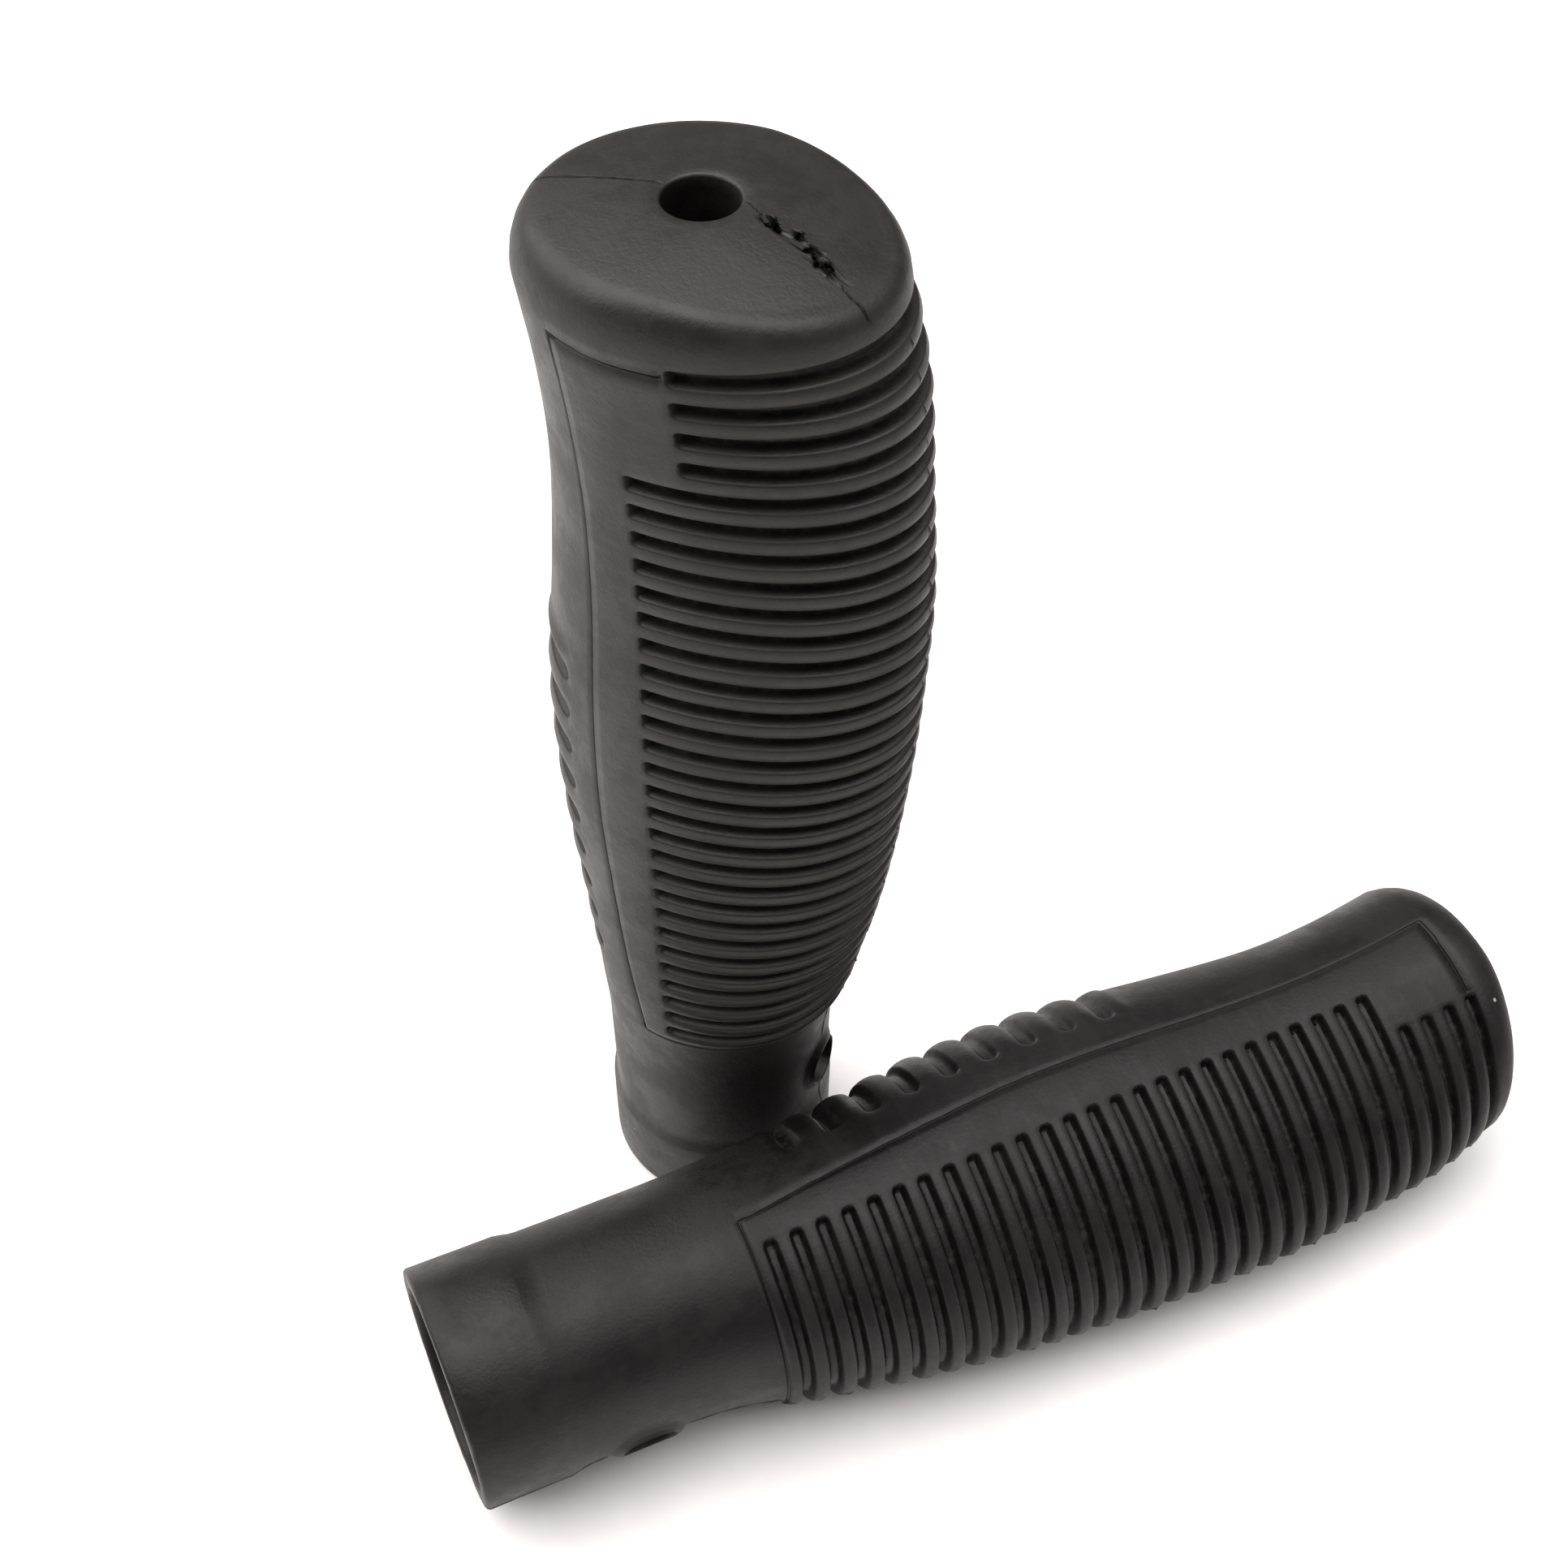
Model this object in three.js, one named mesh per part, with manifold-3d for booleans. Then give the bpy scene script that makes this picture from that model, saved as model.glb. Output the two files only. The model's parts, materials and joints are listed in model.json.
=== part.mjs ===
// A pair of moulded rubber grips for the bar ends of a bicycle. Each grip is one moulding: a round mouth that
// slides over the bar, a palm side with cross grooves, a finger side with short scooped grooves, and a closed
// end with a vent hole. One grip stands on its mouth, and the other lies on its side in front of it.
// Millimetres, +Z up. A grip's own frame has the bar's axis on Z, the mouth at z = 0 and the palm side
// towards +X.

import * as THREE from 'three';
import { mergeVertices } from 'three/addons/utils/BufferGeometryUtils.js';
import Module from 'manifold-3d';

const wasm = await Module();
wasm.setup();

// The moulding's main sizes.
const gripLength = 129.5;
const boreRadius = 11; // for a bar of 22.2 mm, on which the rubber stretches a little
const neckWall = 1.75; // rubber round the bore at the neck, the thinnest part of the grip
const endWall = 6; // rubber between the end of the bore and the closed end
const ventRadius = 3.1;
const neckLength = 32; // from the mouth to the foot of the swell, where the palm side steps out
const mouthChamfer = 0.4;
const collar = { length: 11, rise: 0.4 };
const stepSlope = 0.7; // height over which the collar and the swell step away from the neck
const endRound = 3; // rounding between the closed end's face and the sides

// How far the skin stands out beyond the neck, towards the palm, the fingers and each side, at shares of the
// way from the neck to the rounding of the closed end.
const swell = [
  { share: 0, palm: 1.3, finger: 0.1, side: 0.6 },
  { share: 0.15, palm: 4.3, finger: 1.1, side: 1.2 },
  { share: 0.41, palm: 7.3, finger: 3.3, side: 0.8 },
  { share: 0.67, palm: 8.1, finger: 1.8, side: -0.1 },
  { share: 0.8, palm: 7.1, finger: 0.8, side: -0.1 },
  { share: 0.89, palm: 6.1, finger: 1.3, side: 0.4 },
  { share: 1, palm: 3.5, finger: 2.4, side: 1.2 },
];

// The cross grooves on the palm side, laid out from the closed end down to the neck.
const palmGroove = { width: 1.3, depth: 0.9, pitch: 3, fromEnd: 6.5, aboveNeck: 3.5 };
// How far from the bar's axis the grooves stop, towards the palm. The few nearest the closed end stop early,
// and the ends of the others lie on a slightly leaning line.
const shortGrooves = { count: 4, stopsAt: 3.4 };
const longGrooves = { stopsAtTop: -1.6, stopsAtNeck: 0.1 };

// The scooped grooves on the finger side, laid out from the lowest one up.
const fingerGroove = { width: 2, depth: 1.1, pitch: 5, aboveNeck: 11, count: 9, stopsAt: 9 };

// The round recess in its low boss, on the palm side of the neck, below the foot of the swell.
const recess = { belowSwell: 13.2, radius: 3, depth: 1.5, bossRadius: 4.2, bossRise: 0.7 };

// How the pair is laid out.
const pair = { standingTurn: -47.4, lyingRoll: -74.6, lyingMouthX: -44, gap: 1.7 };

// Fineness of round shapes.
const skinSegments = 20;
const boreSegments = 24;
const smallSegments = 16;
const swellRings = 10;
const fineRings = 100; // where the skin is only measured
const endRings = 3;
const grooveEndSegments = 2;

const weldDistance = 1e-4; // corners nearer than this are one corner
const overrun = 1; // how far a cutter runs past the face it opens

const neckRadius = boreRadius + neckWall;
const skinRadiusMost = neckRadius + Math.max(...swell.map((station) => station.palm));
const cutReach = 2 * skinRadiusMost; // cutters run this far, well past the skin
const boreDepth = gripLength - endWall;
const footRadius = neckRadius + collar.rise;

// ---- solids and meshes ----

function solidOf(geometry) {
  const bare = new THREE.BufferGeometry();
  const source = geometry.index ? geometry.toNonIndexed() : geometry;
  bare.setAttribute('position', source.getAttribute('position'));
  const merged = mergeVertices(bare, weldDistance);
  const corners = merged.index.array;
  const triVerts = [];
  for (let i = 0; i < corners.length; i += 3) {
    const [a, b, c] = corners.slice(i, i + 3);
    if (a !== b && b !== c && c !== a) triVerts.push(a, b, c);
  }
  const vertProperties = merged.getAttribute('position').array;
  const mesh = new wasm.Mesh({ numProp: 3, vertProperties, triVerts: new Uint32Array(triVerts) });
  return new wasm.Manifold(mesh);
}

function geometryOf(solid) {
  const { vertProperties, triVerts } = solid.getMesh();
  const geometry = new THREE.BufferGeometry();
  geometry.setAttribute('position', new THREE.BufferAttribute(new Float32Array(vertProperties), 3));
  geometry.setIndex(new THREE.BufferAttribute(new Uint32Array(triVerts), 1));
  geometry.computeVertexNormals();
  return geometry;
}

function joined(solids) {
  return solids.reduce((sum, solid) => sum.add(solid));
}

// A cylinder along Z between two heights.
function uprightCylinder(radius, low, high, segments) {
  const geometry = new THREE.CylinderGeometry(radius, radius, high - low, segments);
  geometry.rotateX(Math.PI / 2);
  geometry.translate(0, 0, (low + high) / 2);
  return solidOf(geometry);
}

// A cylinder along X at a height, between two distances from the bar's axis.
function levelCylinder(radius, height, near, far) {
  const geometry = new THREE.CylinderGeometry(radius, radius, far - near, smallSegments);
  geometry.rotateZ(Math.PI / 2);
  geometry.translate((near + far) / 2, 0, height);
  return solidOf(geometry);
}

// ---- the outer skin ----

// One curve for each of the palm, the finger side and the side, through the stations of the swell.
function swellCurve(side) {
  const room = gripLength - endRound - neckLength;
  const points = swell.map((station) => new THREE.Vector2(neckLength + station.share * room, station[side]));
  return new THREE.SplineCurve(points);
}

const swellCurves = { palm: swellCurve('palm'), finger: swellCurve('finger'), side: swellCurve('side') };

// The half-widths of the skin part of the way along the swell, which all share one height.
function swellRing(part) {
  const height = swellCurves.palm.getPoint(part).x;
  const palm = neckRadius + swellCurves.palm.getPoint(part).y;
  const finger = neckRadius + swellCurves.finger.getPoint(part).y;
  const side = neckRadius + swellCurves.side.getPoint(part).y;
  return { height, palm, finger, side };
}

function roundRing(height, radius) {
  return { height, palm: radius, finger: radius, side: radius };
}

// A ring drawn in by the same amount all round.
function drawnIn(ring, amount, height = ring.height) {
  return { height, palm: ring.palm - amount, finger: ring.finger - amount, side: ring.side - amount };
}

function skinRings(steps = swellRings) {
  const rings = [
    roundRing(0, footRadius - mouthChamfer),
    roundRing(mouthChamfer, footRadius),
    roundRing(collar.length, footRadius),
    roundRing(collar.length + stepSlope, neckRadius),
    roundRing(neckLength - stepSlope, neckRadius),
  ];
  for (let i = 0; i <= steps; i += 1) {
    rings.push(swellRing(i / steps));
  }
  const shoulder = rings.at(-1);
  for (let i = 1; i <= endRings; i += 1) {
    const angle = (i / endRings) * (Math.PI / 2);
    const height = shoulder.height + endRound * Math.sin(angle);
    rings.push(drawnIn(shoulder, endRound * (1 - Math.cos(angle)), height));
  }
  return rings;
}

// A lathe of radius 1 whose rings are then stretched to their own half-widths and heights. A sunk skin has
// the same heights, and lies inside the real one by the same depth all round.
function skin(sunk = 0) {
  const rings = skinRings();
  const column = rings.map((ring, index) => new THREE.Vector2(1, index));
  const profile = [new THREE.Vector2(0, 0), ...column, new THREE.Vector2(0, rings.length - 1)];
  const geometry = new THREE.LatheGeometry(profile, skinSegments);
  const position = geometry.getAttribute('position');
  for (let i = 0; i < position.count; i += 1) {
    const ring = drawnIn(rings[Math.round(position.getY(i))], sunk);
    const across = position.getX(i);
    const sideways = -position.getZ(i);
    position.setXYZ(i, across * (across > 0 ? ring.palm : ring.finger), sideways * ring.side, ring.height);
  }
  return solidOf(geometry);
}

// ---- grooves ----

// A flat-sided slot across the grip at a height. It has a round end at stopsAt, and it is open towards +X.
function slot(width, height, stopsAt) {
  const half = width / 2;
  const shape = new THREE.Shape();
  shape.moveTo(cutReach, height - half);
  shape.lineTo(cutReach, height + half);
  shape.lineTo(stopsAt + half, height + half);
  shape.absarc(stopsAt + half, height, half, Math.PI / 2, -Math.PI / 2, false);
  shape.closePath();
  const options = { depth: 2 * cutReach, bevelEnabled: false, curveSegments: grooveEndSegments };
  const geometry = new THREE.ExtrudeGeometry(shape, options);
  geometry.rotateX(Math.PI / 2);
  geometry.translate(0, cutReach, 0);
  return geometry;
}

function palmSlots() {
  const slots = [];
  const highest = gripLength - palmGroove.fromEnd;
  const lowest = neckLength + palmGroove.aboveNeck;
  for (let height = highest; height >= lowest; height -= palmGroove.pitch) {
    const up = (height - lowest) / (highest - lowest);
    const longEnd = THREE.MathUtils.lerp(longGrooves.stopsAtNeck, longGrooves.stopsAtTop, up);
    const stopsAt = slots.length < shortGrooves.count ? shortGrooves.stopsAt : longEnd;
    slots.push(solidOf(slot(palmGroove.width, height, stopsAt)));
  }
  return slots;
}

function fingerSlots() {
  const slots = [];
  for (let i = 0; i < fingerGroove.count; i += 1) {
    const height = neckLength + fingerGroove.aboveNeck + i * fingerGroove.pitch;
    slots.push(solidOf(slot(fingerGroove.width, height, fingerGroove.stopsAt).rotateZ(Math.PI)));
  }
  return slots;
}

// What the grooves take away: the slots, less the rubber below their floors.
function grooves() {
  const palm = joined(palmSlots()).subtract(skin(palmGroove.depth));
  const finger = joined(fingerSlots()).subtract(skin(fingerGroove.depth));
  return palm.add(finger);
}

// ---- the grip ----

function gripGeometry() {
  const bossTop = neckRadius + recess.bossRise;
  const recessHeight = neckLength - recess.belowSwell;
  const boss = levelCylinder(recess.bossRadius, recessHeight, boreRadius, bossTop);
  const recessCut = levelCylinder(recess.radius, recessHeight, bossTop - recess.depth, cutReach);
  const bore = uprightCylinder(boreRadius, -overrun, boreDepth, boreSegments);
  const vent = uprightCylinder(ventRadius, boreDepth - overrun, gripLength + overrun, smallSegments);
  const body = skin().subtract(grooves()).add(boss);
  return geometryOf(body.subtract(recessCut).subtract(bore).subtract(vent));
}

function gripMaterial(name) {
  return new THREE.MeshStandardMaterial({ name, color: 0x2d2a29, roughness: 0.62, metalness: 0 });
}

// ---- the pair ----

// How far from the standing grip's axis the lying grip's axis has to be for the two to touch: each ring of
// the lying one, with its finger side turned to the standing one, against the round foot beside it.
function touchingDistance(roll) {
  const rings = skinRings(fineRings);
  const beside = rings.filter((ring) => Math.abs(ring.height + pair.lyingMouthX) < footRadius);
  const distances = beside.map((ring) => {
    const reach = Math.hypot(ring.finger * Math.sin(roll), ring.side * Math.cos(roll));
    return reach + Math.sqrt(footRadius ** 2 - (ring.height + pair.lyingMouthX) ** 2);
  });
  return Math.max(...distances);
}

function layOutPair(geometry) {
  const standing = new THREE.Mesh(geometry, gripMaterial('rubber'));
  standing.name = 'standing_grip';
  standing.rotation.z = THREE.MathUtils.degToRad(pair.standingTurn);

  const roll = THREE.MathUtils.degToRad(pair.lyingRoll);
  const lying = new THREE.Mesh(geometry, gripMaterial('rubber'));
  lying.name = 'lying_grip';
  lying.rotation.set(roll, Math.PI / 2, 0);
  lying.position.set(pair.lyingMouthX, -(touchingDistance(roll) + pair.gap), 0);
  const lowest = new THREE.Box3().setFromObject(lying, true).min.z;
  lying.position.z = -lowest; // it rests on what the other stands on
  return [standing, lying];
}

const grips = new THREE.Group();
grips.name = 'bar_end_grips';
grips.add(...layOutPair(gripGeometry()));

// The origin is under the middle of the pair.
const middle = new THREE.Box3().setFromObject(grips, true).getCenter(new THREE.Vector3());
grips.position.set(-middle.x, -middle.y, 0);

export default grips;
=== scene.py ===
import json
import math
import random
from bisect import bisect_right

import bmesh
import bpy
from mathutils import Matrix, Vector, noise


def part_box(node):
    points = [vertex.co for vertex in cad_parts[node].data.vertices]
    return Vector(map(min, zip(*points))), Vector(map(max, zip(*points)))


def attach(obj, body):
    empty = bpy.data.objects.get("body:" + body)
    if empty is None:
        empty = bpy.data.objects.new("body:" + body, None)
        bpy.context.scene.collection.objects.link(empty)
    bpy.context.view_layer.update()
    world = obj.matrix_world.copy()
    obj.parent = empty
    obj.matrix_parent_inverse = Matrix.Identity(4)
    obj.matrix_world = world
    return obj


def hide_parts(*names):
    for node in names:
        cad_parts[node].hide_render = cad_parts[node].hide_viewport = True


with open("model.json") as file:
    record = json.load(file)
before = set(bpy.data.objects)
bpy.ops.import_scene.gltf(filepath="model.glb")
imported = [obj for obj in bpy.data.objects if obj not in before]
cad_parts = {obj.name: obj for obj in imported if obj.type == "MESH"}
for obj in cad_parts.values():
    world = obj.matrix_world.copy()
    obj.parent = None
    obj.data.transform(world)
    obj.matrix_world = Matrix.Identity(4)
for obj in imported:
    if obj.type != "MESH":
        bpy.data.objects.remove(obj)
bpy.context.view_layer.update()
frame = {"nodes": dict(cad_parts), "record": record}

print("loaded the frame:", len(frame["nodes"]), "nodes")

# Two rubber grips for the bar ends of a bicycle, each one moulding. A grip's mesh is made in millimetres
# and in its own frame: the bar runs up Z, the mouth is at 0, the palm side faces +X and the fingers wrap
# round -X. A turn is an angle round the bar from the palm line, the same to both sides: 0 at the palm, 180
# at the fingers.

mm = 0.001

skin = {
    "length": (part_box("standing_grip")[1].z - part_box("standing_grip")[0].z) / mm,
    "neckRadius": 12.75,
    "collarRise": 0.4,
    "collarTop": 11.0,
    # rows up the collar: height, and how far below its full rise
    "collarRows": [(0, 0.42), (0.1, 0.16), (0.36, 0), (2.8, 0), (5.5, 0), (8.2, 0), (10.2, 0)],
    "collarStep": [(-0.6, 0.9), (0.1, 0.6), (0.8, 0.2), (1.6, 0)],  # round its top, and share of its rise
    "padFoot": 33.9,  # where the ribbed pad begins
    "padFootBlend": (33.4, 34.4),  # heights over which it rises out of the skin
    "padEdgeBlend": 1.5,  # and degrees to each side of its edge
    "padTopBlend": 1.2,
    "padRise": 0.14,  # how far it stands proud of the skin round it
    "footRise": 0.45,  # and how much more at its foot, under the palm
    "footFade": (35, 44),  # heights over which that fades
    "footWrap": (20, 90),  # and turns
    "palmToFinger": (99, 116),  # turns over which the grooves' rows become the scoops'
    # height, and the half-widths towards the palm, the fingers and each side
    "swell": [
        (12.0, 12.75, 12.75, 12.75),
        (22.0, 12.75, 12.75, 12.75),
        (28.0, 13.1, 12.75, 12.95),
        (34.0, 14.35, 13.0, 13.5),
        (46.0, 17.1, 13.8, 13.9),
        (58.0, 18.9, 15.2, 13.8),
        (70.0, 20.0, 16.0, 13.6),
        (82.0, 20.6, 15.6, 13.2),
        (94.0, 20.8, 14.5, 12.4),
        (106.0, 19.9, 13.6, 12.4),
        (116.0, 18.8, 14.0, 13.1),
        (124.5, 16.6, 15.1, 14.1),
    ],
    # height and turn of the line engraved round the pad
    "padEdge": [
        (34.0, 101.5),
        (46.0, 107.5),
        (58.0, 110.5),
        (70.0, 113.0),
        (96.0, 114.0),
        (110.0, 116.0),
        (123.0, 118.5),
    ],
    "waviness": 0.05,  # soft unevenness of the moulding
    "waveHeight": 14,
    "waveScale": 1.3,
    "raggedness": 0.22,  # how far the trimmed edge of the mouth wanders
    "raggedScales": (3.1, 11.0),
    "raggedFade": (0.2, 0.8),
    # from the top of the swell to the rim of the end: share of the height, and how far in
    "endCurve": [
        (0.0, 0.0), (0.3, 0.12), (0.55, 0.38), (0.75, 0.75), (0.88, 1.15), (0.96, 1.6), (1.0, 2.2),
    ],
    "fingerCurve": 1.3,  # how much further in the rim goes at the fingers
    "rimDrop": 0.8,  # how far the rim lies below the middle of the end
    "palmDrop": 2.2,  # and how much more under the palm
    "palmShape": 1.5,
    "dome": 1.6,  # how steeply its face falls away towards the rim
    "faceShares": [0.05, 0.12, 0.22, 0.34, 0.46, 0.58, 0.7, 0.82, 0.92],  # rows over the face, rim to vent
    "ventRadius": 3.1,
    "ventEdge": 0.45,  # how far outside the vent the face ends
    "endWall": 6.0,
    "boreRadius": 11.0,
    # height and distance from the bore's wall of the rows round the mouth's edge
    "mouthEdge": [(6, 0), (3.5, 0), (2, 0), (1.1, 0), (0.5, 0), (0.12, 0.14), (0, 0.4), (0, 1.1)],
}

groove = {
    "count": 30,
    "first": 36.07,  # height of the lowest one
    "pitch": 3.0,
    "half": 0.93,  # half the width, with the rounded shoulders
    "crown": 0.13,  # how far the rib between two grooves bulges
    "crownFade": (70, 95),  # turns over which the bulge fades
    "tipLow": 89.7,  # turn at which the lowest one ends
    "tipHigh": 96.8,  # and the highest, if it were a long one
    "shortCount": 4,  # the highest few stop early
    "shortTip": 79.6,
    "makeRoom": 5,  # how far the short tips' columns move below the short grooves, for the long tips'
    "roomBlend": (60, 100),
    # how far in and down each step of the hollow goes: a rounded shoulder, a steep wall and a rounded foot
    "hollow": [(0.1, 0.05), (0.1, 0.16), (0.12, 0.38), (0.12, 0.4), (0.1, 0.28), (0.08, 0.05)],
}

scoop = {
    "count": 9,
    "pitch": 5.0,
    "half": 1.25,
    "tip": 128.0,
    "crown": 0.24,  # how far the pillow between two scoops bulges
    "crownFade": (-2, 9),  # and over which turns, from the tip
    # the five rows of a scoop and its pillow, in halves of a scoop, which of them are the scoop's edges,
    # and their share of the bulge
    "rows": (0.5, 1.0, 3.0, 3.5, 4.0),
    "edges": (0, -1, 1, 0, 0),
    "pillows": (0.75, 0, 0, 0.75, 1),
    "hollow": [(0.14, 0.06), (0.16, 0.2), (0.18, 0.34), (0.2, 0.26), (0.2, 0.12), (0.16, 0.02)],
}

boss = {
    "height": 18.8,
    "foot": 4.4,  # radius of its foot
    "half": 12,  # columns on each side of the palm line, and rows from its foot to its top
    "lead": 1.6,  # how far below its foot the rows close up
    "clear": 0.5,  # how far off the ridge of the seam stops
    "blend": 0.9,  # how far out the skin's rows bend to fit round it, in foot radiuses
    "rim": [(0.25, -0.08), (0.3, -0.22), (0.28, -0.2), (0.22, -0.08), (0.18, 0.0)],
    "flatness": 0.3,  # how much of the neck's roundness is left in its rim
    "hollow": [(0.1, 0.06), (0.08, 0.26), (0.07, 0.6), (0.14, 0.5), (0.3, 0.18), (0.6, 0.1)],
}

line = {
    "half": 0.15,  # the fine line engraved round the pad
    "below": (-1.4, -0.65),  # the rows below it, and the one above
    "above": 0.7,
    "hollow": [(0.05, 0.1), (0.06, 0.16)],
}

# The seam that the two halves of the mould leave.
seam = {
    "rise": 0.14,  # the ridge down the palm line and the finger line
    "steady": 0.75,  # share of the rise that is always there
    "ripple": 0.7,
    "turn": 0.6,  # how far round the ridge reaches
    "half": 0.12,  # the furrow across the end
    "depth": 0.55,
    # across the end, by how far each point lies towards the palm and to the side
    "acrossEnd": [
        [(-14.2, -1.6), (-8.0, -0.3), (-3.7, 0.5)],
        [(3.5, 1.0), (5.8, -0.5)],
        [(13.2, -3.1), (17.2, -4.8)],
    ],
    "tornAndShaded": [(5.2, -0.4), (7.7, -0.6), (10.1, -1.7), (13.4, -3.2)],  # where its flash was torn off
    "tears": 16,
    "tearSpread": 0.55,  # how far tears lie from that line
    "tearTurn": 0.9,  # and how far they turn from it
    "tearLength": (0.4, 1.1),  # half of it
    "tearDepth": (0.5, 1.0),
    "tearWidth": (0.18, 0.36),  # half of it
    "burrEvery": 5,  # one mark in so many stands up
    "burrRise": (0.1, 0.2),
    "taper": 0.4,  # over which a furrow's ends run out
    # faces are cut this far past a furrow's ends and to its sides, and this far down from the end
    "before": 0.4,
    "aside": 1.6,
    "below": 4,
    # painted shade: depths over which a deep furrow or tear is painted dark, standing in for the shade
    # inside it
    "paintedShadeDepths": (0.1, 0.9),  # depths between which a furrow turns black
    "seed": 7,
}

# where the columns stand at a groove's round end, in half widths from the middle of the rounding
capColumns = [0.0, 0.38, 0.71, 0.92]
pastColumns = [1.4, 2.1, 3.1]
pastShares = [0.5, 0.78, 0.95]  # and how far apart its two edge rows are there, past its end


def curveThrough(points, at):  # a smooth curve through (place, value) points
    places = [point[0] for point in points]
    i = min(max(bisect_right(places, at) - 1, 0), len(points) - 2)
    (x0, y0), (x1, y1) = points[i], points[i + 1]
    span = x1 - x0
    slope = (y1 - y0) / span
    before = (y1 - points[i - 1][1]) / (x1 - points[i - 1][0]) if i else slope
    after = (points[i + 2][1] - y0) / (points[i + 2][0] - x0) if i + 2 < len(points) else slope
    t = (at - x0) / span
    if t < 0 or t > 1:  # straight on past the ends
        return y0 + slope * (at - x0)
    u = 1 - t
    return y0 * u * u * (1 + 2 * t) + y1 * t * t * (1 + 2 * u) + span * t * u * (before * u - after * t)


def smoothShare(value, low, high):  # 0 below low, 1 above high, and eased between
    t = min(max((value - low) / (high - low), 0), 1)
    return t * t * (3 - 2 * t)


def swellAt(height):  # half-widths towards the palm, the fingers and each side
    return [curveThrough([(row[0], row[side]) for row in skin["swell"]], height) for side in (1, 2, 3)]


def spread(low, high, count):  # evenly from low up to, but not with, high
    return [low + (high - low) * i / count for i in range(count)]


def tipAt(height):
    top = groove["first"] + (groove["count"] - 1) * groove["pitch"]
    share = (height - groove["first"]) / (top - groove["first"])
    return groove["tipLow"] + (groove["tipHigh"] - groove["tipLow"]) * min(max(share, 0), 1)


# The columns from the palm line round one side to the finger line. They close up where grooves and scoops
# end, and one follows the edge of the pad.
shape = {"fine": 13, "rib": 16, "land": 2, "pad": 3, "skirt": 3, "finger": 23}
shortCap = shape["fine"] + shape["rib"]
longCap = shortCap + len(capColumns) + len(pastColumns) + shape["land"]
padColumn = longCap + len(capColumns) + len(pastColumns) + shape["pad"]
scoopCap = padColumn + 1 + shape["skirt"] + len(pastColumns) - 1
halfCount = scoopCap + len(capColumns) + shape["finger"]
columnCount = 2 * halfCount


def halfTurns(height):
    height = min(max(height, skin["padFoot"]), skin["swell"][-1][0])
    palm, finger, side = swellAt(height)
    palmDegree = math.degrees(groove["half"] / palm)
    fingerDegree = math.degrees(scoop["half"] / finger)
    shortTip = groove["shortTip"] - groove["makeRoom"] * (1 - smoothShare(height, *groove["roomBlend"]))
    shortDegree = math.degrees(groove["half"] / skin["swell"][-2][1])
    shortStart = shortTip - shortDegree
    longStart = tipAt(height) - palmDegree
    padTurn = curveThrough(skin["padEdge"], height)
    lineDegree = math.degrees(line["half"] / side)
    fineEnd = math.degrees(boss["foot"] / skin["neckRadius"])
    turns = [0, seam["turn"]] + spread(0, fineEnd, shape["fine"] - 1)[1:]
    turns += spread(fineEnd, shortStart, shape["rib"])
    turns += [shortStart + shortDegree * x for x in capColumns + pastColumns]
    turns += spread(turns[-1], longStart, shape["land"] + 1)[1:]
    turns += [longStart + palmDegree * x for x in capColumns + pastColumns]
    turns += spread(turns[-1], padTurn - lineDegree, shape["pad"] + 1)[1:]
    turns += [padTurn - lineDegree]
    past = [scoop["tip"] + fingerDegree * (1 - x) for x in reversed(pastColumns[:-1])]
    turns += spread(padTurn + lineDegree, past[0], shape["skirt"]) + past
    turns += [scoop["tip"] + fingerDegree * (1 - x) for x in reversed(capColumns)]
    last = 180 - seam["turn"]
    turns += spread(turns[-1], last, shape["finger"])[1:] + [last, 180]
    return turns


def capShare(column, cap, reverse=False):  # how wide a groove is at a column, as a share of its full width
    step = (cap + len(capColumns) - 1 - column) if reverse else column - cap
    past = len(pastColumns)
    if step < 0 or step >= len(capColumns) + past:
        return 1
    if step < len(capColumns):
        return math.sqrt(1 - capColumns[step] ** 2)
    return pastShares[step - len(capColumns)]


def neckRows():
    rise, top = skin["collarRise"], skin["collarTop"]
    rows = [(height, rise - below) for height, below in skin["collarRows"]]
    rows += [(top + above, rise * share) for above, share in skin["collarStep"]]
    foot = skin["padFoot"]
    reach = boss["foot"]
    low, high = boss["height"] - reach, boss["height"] + reach
    rows += [(height, 0) for height in spread(low - boss["lead"], low, 2)]
    rows += [(height, 0) for height in spread(low, high, boss["half"])]
    rows += [(height, 0) for height in spread(high, foot + line["below"][0], 5)]
    rows += [(foot + lift, 0) for lift in (*line["below"], -line["half"], line["half"], line["above"])]
    return [{"palm": height, "finger": height, "rise": lift} for height, lift in rows]


def padRows():
    rows = []
    lowest = groove["first"] + 1.5 * groove["pitch"]  # where the scoops begin, midway between two grooves
    half = scoop["half"]
    for i in range(groove["count"]):
        middle = groove["first"] + i * groove["pitch"]
        isShort = i >= groove["count"] - groove["shortCount"]
        for edge, lift in ((-1, -groove["half"]), (1, groove["half"]), (0, groove["pitch"] / 2)):
            row = {"palm": middle + lift, "finger": middle + lift, "edge": edge, "short": isShort}
            row["top"] = i == groove["count"] - 1
            step = len(rows) - 6  # rows above the lowest scoop's boundary
            scoopIndex, place = divmod(step, 5)
            if 0 <= scoopIndex < scoop["count"]:
                row["finger"] = lowest + scoopIndex * scoop["pitch"] + half * scoop["rows"][place]
                row["scoopEdge"] = scoop["edges"][place]
                row["pillow"] = scoop["pillows"][place]
            rows.append(row)
    return rows[:-1]


def padShare(height, turn):  # 1 on the ribbed pad and 0 on the skin round it
    edge = curveThrough(skin["padEdge"], height)
    top = groove["first"] + (groove["count"] - 1) * groove["pitch"]
    across = 1 - smoothShare(turn, edge - skin["padEdgeBlend"], edge + skin["padEdgeBlend"])
    below = 1 - smoothShare(height, top - skin["padTopBlend"], top)
    return across * smoothShare(height, *skin["padFootBlend"]) * below


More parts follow.
